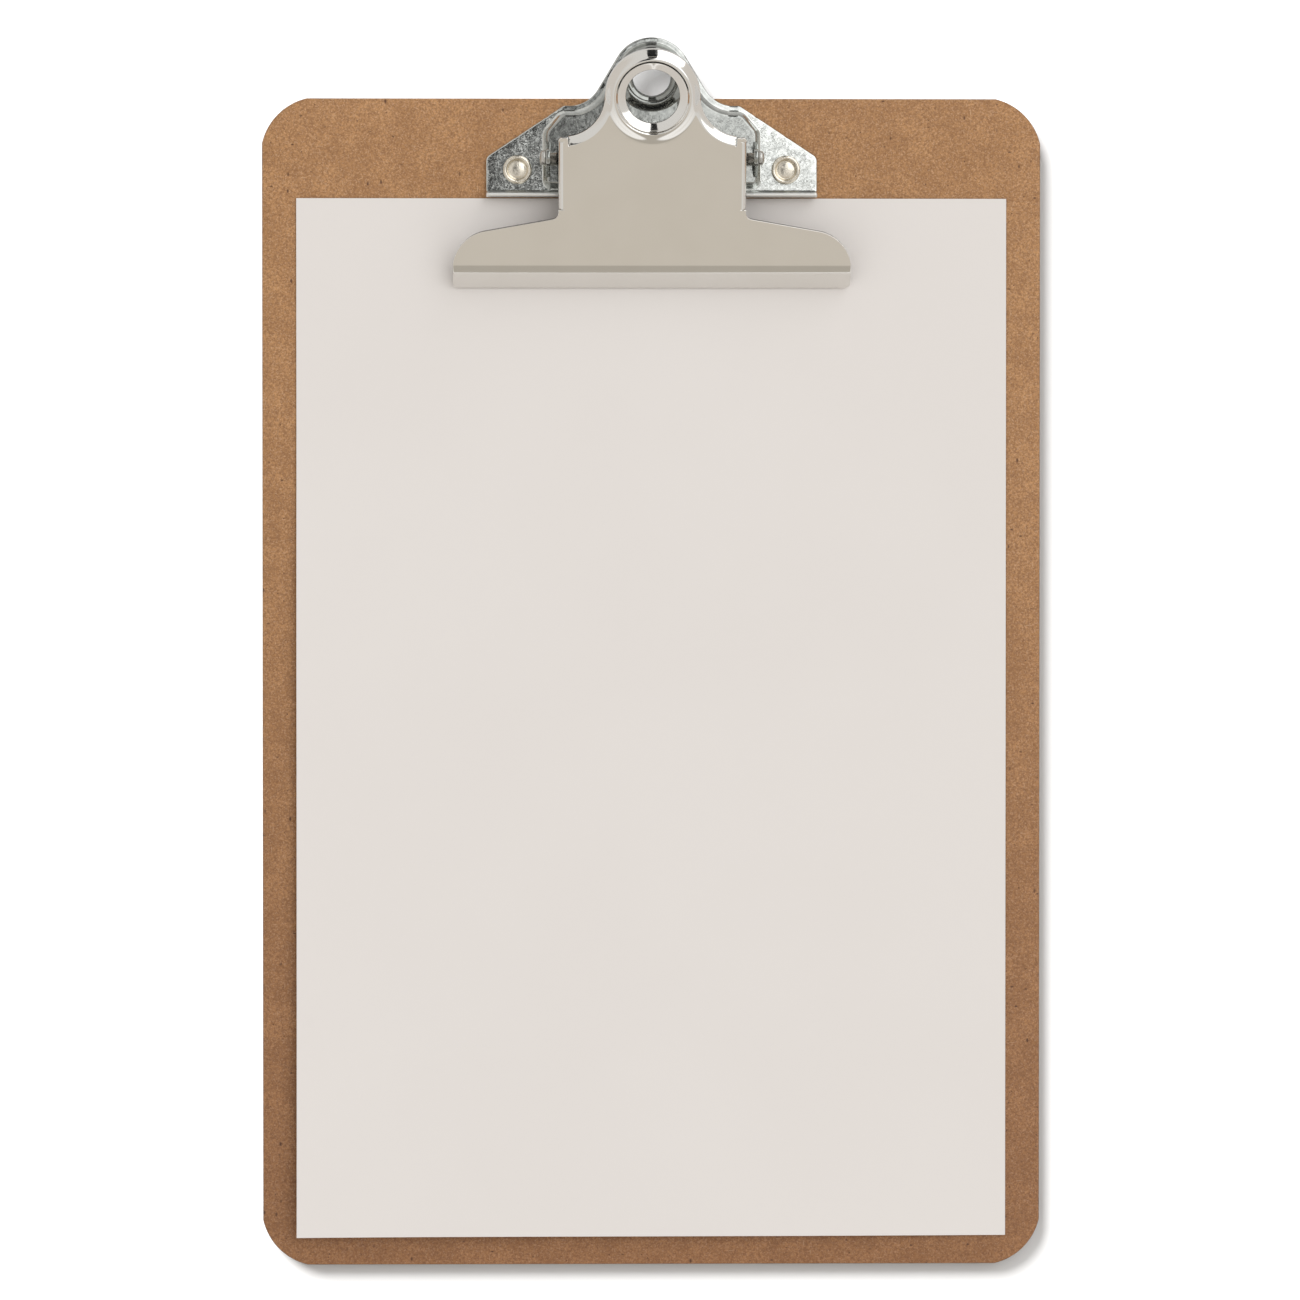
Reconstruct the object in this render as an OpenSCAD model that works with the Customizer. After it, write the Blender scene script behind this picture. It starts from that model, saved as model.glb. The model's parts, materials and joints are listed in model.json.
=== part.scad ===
// Memo-size hardboard clipboard with a sprung lever clip.
// Origin: centre of the board's back face. +Z out of the writing face, +Y towards the clip.

/* [Board] */
// Width of the board
board_w = 152.4; // [145:0.1:230]
// Length of the board
board_l = 228.6; // [215:0.1:320]
// Thickness of the hardboard
board_t = 3.2; // [2.8:0.1:4]
// Radius of the arc at each corner
corner_r = 11.7; // [8:0.1:16]
// How far each corner arc runs past the edges that trim it
corner_over = 0.3; // [0.1:0.05:0.6]

/* [Paper] */
// Width of the sheets
paper_w = 139; // [80:0.1:145]
// Length of the sheets
paper_l = 203.4; // [120:0.1:205]
// Thickness of the few sheets in the clip
paper_t = 0.3; // [0.1:0.05:0.35]

/* [Clip] */
// Thickness of the clip's sheet steel
sheet_t = 0.9; // [0.7:0.05:1]
// Distance from the board's top edge down to the hinge pin
hinge_in = 12; // [11.8:0.1:14]
// Height of the hinge pin above the board's face
hinge_h = 6.1; // [6:0.05:6.4]

/* [Base plate] */
// Half the width of the base plate
wing_half = 32.4; // [31:0.1:36]
// Height of the turned-up paper stop
stop_h = 2.6; // [1.5:0.1:3]
// Height of the raised pan's top
pan_h = 2.2; // [2:0.05:2.2]
// Outer radius of the hanging ring
hang_ring_r = 7.8; // [7.5:0.1:8.2]
// Radius of the hanging hole
hang_hole_r = 3.7; // [3.2:0.1:3.7]

/* [Lever] */
// Slope of the lever's flat plate when it is closed, in degrees
lever_tilt = 16; // [15.5:0.1:16.5]
// Half the width of the jaw
jaw_half = 38.8; // [37:0.1:42]
// Length of the jaw's straight lip
lip_len = 4.15; // [3.5:0.05:4.2]
// Half the width of the neck
neck_half = 18.25; // [18.1:0.05:18.5]
// Outer radius of the thumb ring
thumb_ring_r = 9.25; // [9:0.05:9.5]
// Radius of the thumb ring's hole
thumb_hole_r = 5.25; // [4.5:0.05:5.5]

/* [Pin, spring and rivets] */
// Diameter of the hinge pin
pin_d = 2; // [1.6:0.1:2.4]
// Radial play of the lever on the pin
pin_play = 0.06; // [0.03:0.01:0.1]
// Diameter of the spring wire
wire_d = 1.4; // [1:0.1:1.4]
// Whole turns in each coil
coil_turns = 3; // [2:1:4]
// Sideways distance of each rivet from the middle
rivet_x = 26.25; // [25.5:0.05:27]

/* [Hidden] */
$fn = 64;
eps = 0.01;
past = 5;
tuck = 0.05;
hinge_y = board_l / 2 - hinge_in;

// Base plate, seen from above. Distances along Y count from the hinge pin.
stop_y = -7.5;
wing_top_y = 0.5;
wing_slope = 33.5;
wing_corner_x = 17.2;
hang_ring_y = 16.15;
waist_x = 16.2;
waist_y = 17.1;
waist_r = 6.6;

// Raised pan, whose side walls carry the ears
pan_inset = 1.6;
pan_half = 20.7;
pan_low_y = -5.1;
pan_side_y = 5.3;
pan_corner_x = 17.6;
pan_corner_y = 9.2;
hang_bead_r = 1.05;
hang_bead_z = 1.75;
collar_low = 0.7;

// Ears, drawn up out of the pan's side walls
ear_x = pan_half - sheet_t;
ear_low_y = -3.8;
ear_high_y = 3.7;
ear_tip_r = 1.8;

// Pin heads
head_r = 1.45;
head_t = 1.2;
head_chamfer = 0.3;

// Rivets
rivet_dy = -2;
shank_r = 1.9;
rivet_play = 0.05;
back_head_r = 4;
back_head_t = 1.1;
back_head_z = 0.1;
roll_r = 0.45;
roll_mid_r = 2.3;
roll_rise = 0.2;
cup_r = 1.45;
cup_depth = 0.35;
cup_mouth = 0.5;

// Lever, in its own plane: X across, Y up the plate from the jaw's bend, Z out of the top face
bend_dy = -20.7;
bend_h = 5.7;
pin_v = -bend_dy * cos(lever_tilt) + (hinge_h - bend_h) * sin(lever_tilt);
pin_w = bend_dy * sin(lever_tilt) + (hinge_h - bend_h) * cos(lever_tilt);
bend_r = 3.65;
bend_angle = 39;
jaw_end_r = 7.9;
jaw_end_y = -1.2;
jaw_end_x = jaw_half - sqrt(jaw_end_r * jaw_end_r - jaw_end_y * jaw_end_y);
jaw_top_y = 9;
jaw_top_x = 18.9;
jaw_slope = 10.4;
jaw_fillet = 1.3;
lip_corner_r = 1.2;
thumb_ring_y = 33;
shoulder_x = thumb_ring_r + 8;
shoulder_r = 8;
shoulder_end = 264;
corner_tab_x = 16.4;
corner_tab_top = 25.9;
edge_r = 1.7;
skirt = 0.5;
bead_mid_r = 7.6;
bead_r = 1.35;
bead_low = -0.75;
funnel_rim = -0.6;
funnel_low = -1.5;

// Side flanges of the neck, folded down round the pin
flange_low_y = 10.8;
flange_high_y = 24.3;
flange_end_r = 3.3;
flange_bend_r = 1.1;

// Torsion spring
coil_r = 3;
coil_pitch = wire_d + 0.1;
bail_half = 4.6;
bail_slope = 22;
bail_reach = 6.4;
foot_reach = 7.2;
wire_sides = 8;
turn_steps = 16;
corner_steps = 4;
bail_corner_r = 1.6;

module in_clip() {
    translate([0, hinge_y, board_t]) children();
}

module both_sides() {
    children();
    mirror([1, 0, 0]) children();
}

// A flat shape drawn in the Y-Z plane and extruded across X
module across(x, length) {
    translate([x, 0, 0]) rotate([90, 0, 90]) linear_extrude(length) children();
}

// ---------- Board ----------

module board_shape() {
    core_w = board_w - 2 * (corner_r - corner_over);
    core_l = board_l - 2 * (corner_r - corner_over);
    intersection() {
        square([board_w, board_l], center = true);
        union() {
            square([board_w, core_l], center = true);
            square([core_w, board_l], center = true);
            for (x = [-1, 1], y = [-1, 1])
                translate([x * core_w / 2, y * core_l / 2]) circle(r = corner_r);
        }
    }
}

module board() {
    color("peru") difference() {
        linear_extrude(board_t) board_shape();
        both_sides() translate([rivet_x, hinge_y + rivet_dy, -past]) {
            cylinder(h = board_t + 2 * past, r = shank_r + rivet_play);
            cylinder(h = past + back_head_z + back_head_t, r = back_head_r + rivet_play);
        }
    }
}

// ---------- Base plate ----------

// The waist between the wings and the hanging ring, drawn in from its edge by inset
function ring_angle() =
    atan2(waist_y - hang_ring_y, waist_x)
    + acos((hang_ring_r + waist_r) / norm([waist_x, waist_y - hang_ring_y]));

// Both ends of the straight stretch are tucked a hair inside their circles
function on_ring(inset) =
    let (r = hang_ring_r - inset - tuck)
    [r * cos(ring_angle()), hang_ring_y + r * sin(ring_angle())];

function on_waist(inset) =
    let (r = waist_r + inset - tuck)
    [waist_x - r * cos(ring_angle()), waist_y - r * sin(ring_angle())];

module with_ring(outline, inset) {
    difference() {
        union() {
            polygon(outline);
            both_sides() polygon([[0, 0], [waist_x, 0], [waist_x, waist_y], on_waist(inset),
                                  on_ring(inset), [0, on_ring(inset)[1]]]);
        }
        both_sides() translate([waist_x, waist_y]) circle(r = waist_r + inset);
    }
    translate([0, hang_ring_y]) circle(r = hang_ring_r - inset);
}

module wing_shape() {
    corner_y = wing_top_y + (wing_half - wing_corner_x) * tan(wing_slope);
    with_ring([[-wing_half, stop_y], [wing_half, stop_y], [wing_half, wing_top_y],
               [wing_corner_x, corner_y], [-wing_corner_x, corner_y], [-wing_half, wing_top_y]], 0);
}

module pan_shape(inset) {
    side = pan_half - inset;
    low = pan_low_y + inset;
    with_ring([[-side, low], [side, low], [side, pan_side_y - inset / 2],
               [pan_corner_x - inset / 2, pan_corner_y - inset],
               [inset / 2 - pan_corner_x, pan_corner_y - inset],
               [-side, pan_side_y - inset / 2]], pan_inset + inset);
}

module hanging_bead() {
    translate([0, hang_ring_y, 0]) rotate_extrude() {
        translate([hang_hole_r + hang_bead_r, hang_bead_z]) circle(r = hang_bead_r);
        translate([hang_hole_r, collar_low]) square([sheet_t, hang_bead_z - collar_low]);
    }
}

module ear() {
    across(ear_x, sheet_t) {
        polygon([[ear_low_y, 0], [ear_high_y, 0], [ear_tip_r, hinge_h], [-ear_tip_r, hinge_h]]);
        translate([0, hinge_h]) circle(r = ear_tip_r);
    }
}

module base_sheet() {
    linear_extrude(sheet_t) wing_shape();
    linear_extrude(pan_h) pan_shape(0);
    translate([-wing_half, stop_y, 0]) cube([2 * wing_half, sheet_t, stop_h]);
}

module base_plate() {
    color("lightslategray") in_clip() difference() {
        union() {
            difference() {
                base_sheet();
                translate([0, 0, -eps]) linear_extrude(pan_h - sheet_t + eps) pan_shape(sheet_t);
                translate([0, hang_ring_y, -past])
                    cylinder(h = 2 * past, r = hang_hole_r + sheet_t / 2);
            }
            hanging_bead();
            both_sides() ear();
        }
        translate([-wing_half, 0, hinge_h]) rotate([0, 90, 0]) cylinder(h = 2 * wing_half, d = pin_d);
        both_sides() translate([rivet_x, rivet_dy, -past])
            cylinder(h = 2 * past, r = shank_r + rivet_play);
    }
}

// ---------- Lever ----------

module in_lever() {
    in_clip() translate([0, bend_dy, bend_h]) rotate([lever_tilt, 0, 0]) children();
}

module jaw_half_shape() {
    top = [jaw_end_x + jaw_end_r * sin(jaw_slope), jaw_end_y + jaw_end_r * cos(jaw_slope)];
    fillet_x = neck_half + jaw_fillet;
    fillet_y = jaw_top_y + jaw_fillet;
    polygon([[0, 0], [jaw_end_x, 0], top, [jaw_top_x, jaw_top_y], [0, jaw_top_y]]);
    intersection() {
        translate([jaw_end_x, jaw_end_y]) circle(r = jaw_end_r);
        translate([jaw_end_x, 0]) square([jaw_end_r, jaw_end_r]);
    }
    intersection() {
        translate([jaw_end_x, jaw_end_y]) circle(r = jaw_end_r);
        translate([jaw_top_x, 0]) square([jaw_end_x - jaw_top_x, jaw_end_r]);
    }
    difference() {
        translate([neck_half - eps, jaw_top_y - jaw_fillet]) square([jaw_fillet + eps, 2 * jaw_fillet]);
        translate([fillet_x, fillet_y]) circle(r = jaw_fillet);
    }
}

// The flat of the plate, up to where the edges round the ring start to turn down
module plate_shape() {
    both_sides() jaw_half_shape();
    difference() {
        translate([-neck_half, 0]) square([2 * neck_half, thumb_ring_y]);
        both_sides() translate([shoulder_x, thumb_ring_y]) circle(r = shoulder_r + edge_r);
    }
    translate([0, thumb_ring_y]) circle(r = thumb_ring_r - edge_r);
}

module corner_tab_shape() {
    difference() {
        translate([corner_tab_x, flange_high_y - edge_r])
            square([neck_half - corner_tab_x, corner_tab_top - flange_high_y + edge_r]);
        translate([shoulder_x, thumb_ring_y]) circle(r = shoulder_r);
    }
}

// Section of the turned-down edge: a quarter bend and a short skirt, facing +X from x = 0
module edge_section() {
    translate([-edge_r, -edge_r]) intersection() {
        difference() {
            circle(r = edge_r);
            circle(r = edge_r - sheet_t);
        }
        square(edge_r);
    }
    translate([-sheet_t, -edge_r - skirt]) square([sheet_t, skirt]);
    translate([-edge_r - sheet_t, -sheet_t]) square([sheet_t, sheet_t]);
}

module ring_edge() {
    translate([0, thumb_ring_y, 0]) rotate_extrude(angle = 180)
        translate([thumb_ring_r, 0]) edge_section();
}

module shoulder_edge() {
    translate([shoulder_x, thumb_ring_y, 0]) rotate([0, 0, 180])
        rotate_extrude(angle = shoulder_end - 180)
        translate([shoulder_r, 0]) mirror([1, 0]) edge_section();
}

module ring_bead() {
    translate([0, thumb_ring_y, 0]) rotate_extrude() {
        intersection() {
            translate([bead_mid_r, bead_low]) circle(r = bead_r);
            translate([bead_mid_r - bead_r, -sheet_t]) square([2 * bead_r, bead_r - bead_low + sheet_t]);
        }
        polygon([[thumb_hole_r, funnel_low], [thumb_hole_r, funnel_rim], [bead_mid_r - bead_r / 2, bead_r / 4],
                 [bead_mid_r, 0], [bead_mid_r, -sheet_t], [bead_mid_r - bead_r, -sheet_t],
                 [thumb_hole_r + sheet_t, funnel_low]]);
    }
}

// The bend at the front of the jaw and the straight lip below it
module jaw_front() {
    across(-jaw_half, 2 * jaw_half) translate([0, -bend_r]) {
        intersection() {
            difference() {
                circle(r = bend_r);
                circle(r = bend_r - sheet_t);
            }
            translate([-2 * bend_r, 0]) square(2 * bend_r);
            rotate(bend_angle) square(2 * bend_r);
        }
        rotate(bend_angle) translate([-lip_len, bend_r - sheet_t]) square([lip_len, sheet_t]);
    }
}

// Cutter that rounds a bottom corner of the lip
module lip_corner() {
    translate([0, 0, -bend_r]) rotate([bend_angle, 0, 0])
        translate([jaw_half - lip_corner_r, lip_corner_r - lip_len, 0])
        linear_extrude(2 * bend_r) difference() {
            translate([0, -2 * lip_corner_r]) square(2 * lip_corner_r);
            circle(r = lip_corner_r);
        }
}

module side_flange() {
    across(neck_half - sheet_t, sheet_t) {
        polygon([[flange_low_y, -sheet_t / 2], [flange_high_y, -sheet_t / 2],
                 [pin_v + flange_end_r, pin_w], [pin_v - flange_end_r, pin_w]]);
        translate([pin_v, pin_w]) circle(r = flange_end_r);
    }
}

// Cutter that rounds the fold between the neck and a side flange
module fold_round() {
    translate([0, flange_high_y, 0]) rotate([90, 0, 0])
        linear_extrude(flange_high_y - flange_low_y) difference() {
            translate([neck_half - flange_bend_r, -flange_bend_r]) square(2 * flange_bend_r);
            translate([neck_half - flange_bend_r, -flange_bend_r]) circle(r = flange_bend_r);
        }
}

module lever() {
    color("silver") in_lever() difference() {
        union() {
            difference() {
                translate([0, 0, -sheet_t]) linear_extrude(sheet_t) plate_shape();
                translate([0, thumb_ring_y, -past]) cylinder(h = 2 * past, r = bead_mid_r - bead_r / 2);
            }
            both_sides() translate([0, 0, -sheet_t]) linear_extrude(sheet_t) corner_tab_shape();
            ring_edge();
            both_sides() shoulder_edge();
            ring_bead();
            jaw_front();
            both_sides() side_flange();
        }
        both_sides() {
            lip_corner();
            fold_round();
        }
        translate([-neck_half - past, pin_v, pin_w]) rotate([0, 90, 0])
            cylinder(h = 2 * (neck_half + past), r = pin_d / 2 + pin_play);
    }
}

// ---------- Hinge pin ----------

module pin_head() {
    translate([pan_half, 0, 0]) rotate([0, 90, 0]) {
        cylinder(h = head_t - head_chamfer, r = head_r);
        translate([0, 0, head_t - head_chamfer])
            cylinder(h = head_chamfer, r1 = head_r, r2 = head_r - head_chamfer);
    }
}

module pivot_pin() {
    color("gray") in_clip() translate([0, 0, hinge_h]) {
        translate([-pan_half - eps, 0, 0]) rotate([0, 90, 0]) cylinder(h = 2 * (pan_half + eps), d = pin_d);
        both_sides() pin_head();
    }
}

// ---------- Torsion spring ----------

// One half of the wire's middle line, from the foot on the pan to the middle of the bail
coil_sweep = 360 * coil_turns + 180 - bail_slope;
coil_steps = ceil(coil_sweep / 360 * turn_steps);
coil_out = bail_half + coil_pitch * coil_sweep / 360;

function coil_point(i) =
    let (a = 270 - coil_sweep * i / coil_steps)
    [coil_out - (coil_out - bail_half) * i / coil_steps, coil_r * cos(a), coil_r * sin(a)];

function bail_point(x, reach) =
    [x,
     -coil_r * sin(bail_slope) + reach * cos(bail_slope),
     coil_r * cos(bail_slope) + reach * sin(bail_slope)];

function bail_corner(i) =
    let (a = 90 * i / corner_steps)
    bail_point(bail_half - bail_corner_r * (1 - cos(a)), bail_reach - bail_corner_r * (1 - sin(a)));

half_wire = concat([[coil_out, foot_reach, -coil_r], [coil_out, foot_reach / 2, -coil_r]],
                   [for (i = [0:coil_steps]) coil_point(i)],
                   [bail_point(bail_half, bail_reach / 2)],
                   [for (i = [0:corner_steps]) bail_corner(i)]);
wire = concat(half_wire, [for (i = [len(half_wire) - 1:-1:0])
                          [-half_wire[i][0], half_wire[i][1], half_wire[i][2]]]);

function unit(v) = v / norm(v);

function wire_way(p, i) = unit(p[min(i + 1, len(p) - 1)] - p[max(i - 1, 0)]);

// A side direction for each ring, carried along the wire so that the rings don't twist
function wire_sides_of(p) =
    [for (i = 0, side = [1, 0, 0]; i < len(p);
          i = i + 1,
          way = wire_way(p, min(i, len(p) - 1)),
          side = unit(side - (side * way) * way))
        side];

module sweep(p, radius, sides) {
    normals = wire_sides_of(p);
    last = len(p) - 1;
    points = [for (i = [0:last]) let (n = normals[i], b = cross(wire_way(p, i), n))
              for (k = [0:sides - 1]) p[i] + radius * (cos(360 * k / sides) * n + sin(360 * k / sides) * b)];
    faces = concat(
        [[for (k = [0:sides - 1]) k]],
        [[for (k = [sides - 1:-1:0]) last * sides + k]],
        [for (i = [0:last - 1], k = [0:sides - 1]) let (m = (k + 1) % sides)
            [i * sides + k, (i + 1) * sides + k, (i + 1) * sides + m, i * sides + m]]);
    polyhedron(points, faces);
}

module torsion_spring() {
    color("dimgray") in_clip() translate([0, 0, hinge_h]) sweep(wire, wire_d / 2, wire_sides);
}

// ---------- Rivets ----------

module rivet() {
    wing_z = board_t + sheet_t;
    cup_z = wing_z - cup_depth;
    rotate_extrude() difference() {
        union() {
            translate([0, back_head_z]) square([back_head_r, back_head_t]);
            translate([0, back_head_z]) square([shank_r, wing_z + roll_rise - back_head_z]);
            intersection() {
                translate([roll_mid_r, wing_z + roll_rise]) circle(r = roll_r);
                translate([0, wing_z]) square([roll_mid_r + 2 * roll_r, 2 * roll_r]);
            }
        }
        translate([0, cup_z]) square([cup_r, past]);
        polygon([[0, cup_z], [cup_r, cup_z + cup_mouth], [cup_r + cup_mouth, cup_z + 2 * cup_mouth],
                 [cup_r + cup_mouth, cup_z + past], [0, cup_z + past]]);
    }
}

module rivet_left() {
    color("tan") translate([-rivet_x, hinge_y + rivet_dy, 0]) rivet();
}

module rivet_right() {
    color("tan") translate([rivet_x, hinge_y + rivet_dy, 0]) rivet();
}

// ---------- Paper ----------

paper_gap = 0.05;

module paper() {
    color("white") translate([-paper_w / 2, hinge_y + stop_y - paper_gap - paper_l, board_t])
        cube([paper_w, paper_l, paper_t]);
}

board();
base_plate();
lever();
pivot_pin();
torsion_spring();
rivet_left();
rivet_right();
paper();
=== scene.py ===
import json
import math

import bpy
import numpy as np
from mathutils import Matrix, Vector
from mathutils.geometry import delaunay_2d_cdt


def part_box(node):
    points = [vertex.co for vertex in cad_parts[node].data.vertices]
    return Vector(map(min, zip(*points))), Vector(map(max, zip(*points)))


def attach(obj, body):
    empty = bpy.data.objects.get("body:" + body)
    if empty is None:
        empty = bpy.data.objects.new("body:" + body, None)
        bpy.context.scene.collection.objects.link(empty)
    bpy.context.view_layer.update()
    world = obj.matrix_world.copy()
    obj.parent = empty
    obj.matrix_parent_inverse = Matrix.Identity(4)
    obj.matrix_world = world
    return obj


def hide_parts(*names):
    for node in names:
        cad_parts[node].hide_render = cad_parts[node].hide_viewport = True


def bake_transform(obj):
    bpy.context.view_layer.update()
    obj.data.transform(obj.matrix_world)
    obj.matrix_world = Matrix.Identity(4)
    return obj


# The looks of a hardboard clipboard. Lengths are in millimetres until a mesh, light or camera is made.
# In the clip, heights count from the board's face, and distances along Y from the hinge pin.

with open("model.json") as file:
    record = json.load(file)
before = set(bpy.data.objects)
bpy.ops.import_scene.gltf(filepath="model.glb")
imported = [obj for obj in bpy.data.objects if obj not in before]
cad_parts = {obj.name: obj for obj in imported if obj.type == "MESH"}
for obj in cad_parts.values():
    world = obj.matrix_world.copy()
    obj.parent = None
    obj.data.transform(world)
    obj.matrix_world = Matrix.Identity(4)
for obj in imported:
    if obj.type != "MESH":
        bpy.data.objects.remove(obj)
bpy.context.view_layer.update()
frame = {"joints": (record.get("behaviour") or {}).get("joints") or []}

MM = 0.001


def box_mm(node):
    """A node's lowest and highest corners at rest."""
    low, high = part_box(node)
    return np.array(low) / MM, np.array(high) / MM


board_high = box_mm("board")[1]
plate_low, plate_high = box_mm("base_plate")
lever_high = box_mm("lever")[1]
pin_high = box_mm("pivot_pin")[1]
paper_low, paper_high = box_mm("paper")
hinge = np.array(frame["joints"][0]["pos_m"]) / MM
hinge_y = hinge[1]
board_top = board_high[2]
hinge_h = hinge[2] - board_top

SHEET = 0.9  # thickness of both steel pressings
PIN_R = 1.0
RIVET_X = 26.25
RIVET_DY = -2.0
RIVET_HOLE = 1.95


# ---------- Outlines ----------

def arc(centre, radius, start, end, step=4.0):
    """Points along an arc, its angles in degrees."""
    count = max(2, math.ceil(abs(end - start) / step) + 1)
    angle = np.radians(np.linspace(start, end, count))
    return np.column_stack((centre[0] + radius * np.cos(angle), centre[1] + radius * np.sin(angle)))


def mirrored(right):
    """A closed outline from its right half, which runs from bottom to top."""
    left = right[right[:, 0] > 1e-6][::-1] * (-1, 1)
    return np.vstack((right, left))


def rounded(corners):
    """A closed outline through corners (x, y, radius)."""
    corners = np.array(corners, float)
    out = []
    for i, (x, y, radius) in enumerate(corners):
        here = np.array((x, y))
        back = corners[i - 1, :2] - here
        ahead = corners[(i + 1) % len(corners), :2] - here
        if radius == 0:
            out.append(here[None])
            continue
        back, ahead = back / np.linalg.norm(back), ahead / np.linalg.norm(ahead)
        half = math.acos(np.clip(back @ ahead, -1, 1)) / 2
        middle = (back + ahead) / np.linalg.norm(back + ahead)
        centre = here + middle * radius / math.sin(half)
        first = here + back * radius / math.tan(half) - centre
        last = here + ahead * radius / math.tan(half) - centre
        start = math.degrees(math.atan2(first[1], first[0]))
        turn = (math.degrees(math.atan2(last[1], last[0])) - start + 180) % 360 - 180
        out.append(arc(centre, radius, start, start + turn, 8))
    return np.vstack(out)


def dense(loop, spacing):
    """The closed loop with its long sides split evenly."""
    out = []
    for a, b in zip(loop, np.roll(loop, -1, axis=0)):
        count = max(1, math.ceil(np.linalg.norm(b - a) / spacing))
        out.append(a + (b - a) * np.arange(count)[:, None] / count)
    return np.vstack(out)


def distance(points, loop):
    """How far each point is from the closed loop."""
    best = np.full(len(points), np.inf)
    for a, b in zip(loop, np.roll(loop, -1, axis=0)):
        side = b - a
        along = np.clip((points - a) @ side / (side @ side), 0, 1)
        best = np.minimum(best, ((points - a - along[:, None] * side) ** 2).sum(axis=1))
    return np.sqrt(best)


def inside(points, loop):
    """True for each point within the closed loop."""
    x, y = points.T
    found = np.zeros(len(points), bool)
    for (ax, ay), (bx, by) in zip(loop, np.roll(loop, -1, axis=0)):
        if ay != by:
            found ^= ((ay > y) != (by > y)) & (x < ax + (y - ay) * (bx - ax) / (by - ay))
    return found


def grid(low, high, spacing):
    """Points of an even grid over a rectangle, its step near the spacing each way."""
    axes = [np.linspace(l, h, max(2, round((h - l) / s) + 1)) for l, h, s in zip(low, high, spacing)]
    x, y = np.meshgrid(*axes)
    return np.column_stack((x.ravel(), y.ravel()))


def smooth(t):
    """0 below 0, 1 above 1, with an S between them."""
    t = np.clip(t, 0, 1)
    return t * t * (3 - 2 * t)


# ---------- Meshes ----------

def new_object(name, points, faces, normals=None, sharp=40):
    """A smooth-shaded mesh object with its edges sharp past that many degrees."""
    mesh = bpy.data.meshes.new(name)
    mesh.from_pydata((np.asarray(points) * MM).tolist(), [], [list(map(int, f)) for f in faces])
    mesh.polygons.foreach_set("use_smooth", [True] * len(mesh.polygons))
    mesh.update()
    mesh.set_sharp_from_angle(angle=math.radians(sharp))
    if normals is not None:
        mesh.normals_split_custom_set_from_vertices(normals.tolist())
    thing = bpy.data.objects.new(name, mesh)
    bpy.context.scene.collection.objects.link(thing)
    return thing


def joined(name, parts):
    """One object from one or more (points, faces, normals). A normal of zero is left to the faces."""
    points, faces, normals, start = [], [], [], 0
    for p, f, n in parts:
        points.append(p)
        normals.append(n)
        faces += [[int(i) + start for i in face] for face in f]
        start += len(p)
    return new_object(name, np.vstack(points), faces, np.vstack(normals))


def edge_round(depth, radius):
    """How far a rounded edge drops at each depth in from the rim."""
    t = np.clip(radius - depth, 0, radius)
    return radius - np.sqrt(radius * radius - t * t)


def level(height):
    """The height function of a flat face."""
    return lambda p: np.full(len(p), float(height))


def rim_rows(loop, side, depths, depth_of):
    """Points beside a loop at each depth, left out where another stretch of rim is nearer."""
    before = loop - np.roll(loop, 1, axis=0)
    after = np.roll(before, -1, axis=0)
    before = before / np.linalg.norm(before, axis=1)[:, None]
    after = after / np.linalg.norm(after, axis=1)[:, None]
    turn = before + after
    inward = np.column_stack((-turn[:, 1], turn[:, 0]))
    inward /= (1 + (before * after).sum(axis=1))[:, None] + 1e-9
    found = []
    for depth in depths:
        row = loop + side * depth * inward
        found.append(row[np.abs(depth_of(row) - depth) < 0.02 * depth + 0.002])
    return found


def triangulated(loops, extra):
    """Points and triangles that fill the first loop, use the extra points and leave the holes open."""
    edges, start = [], 0
    for loop in loops:
        edges += [(start + i, start + (i + 1) % len(loop)) for i in range(len(loop))]
        start += len(loop)
    coords = [Vector(p) for p in np.vstack(loops + [extra])]
    flat, _, triangles, *_ = delaunay_2d_cdt(coords, edges, [], 1, 1e-5)
    flat, triangles = np.array(flat), np.array(triangles)
    middle = flat[triangles].mean(axis=1)
    keep = inside(middle, loops[0])
    for hole in loops[1:]:
        keep &= ~inside(middle, hole)
    used, index = np.unique(triangles[keep], return_inverse=True)
    flat, triangles = flat[used], index.reshape(-1, 3)
    a, b, c = (flat[triangles[:, i]] for i in range(3))
    area = (b - a)[:, 0] * (c - a)[:, 1] - (b - a)[:, 1] * (c - a)[:, 0]
    triangles[area < 0] = triangles[area < 0][:, ::-1]
    return flat, triangles


def surface_normals(flat, height, place):
    """The bent face's normal at each point of the blank, from short steps to both sides of it."""
    step = 0.01
    slopes = []
    for way in (np.array((step, 0)), np.array((0, step))):
        slopes.append(place(flat + way, height(flat + way)) - place(flat - way, height(flat - way)))
    normal = np.cross(slopes[0], slopes[1])
    return normal / (np.linalg.norm(normal, axis=1)[:, None] + 1e-12)


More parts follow.
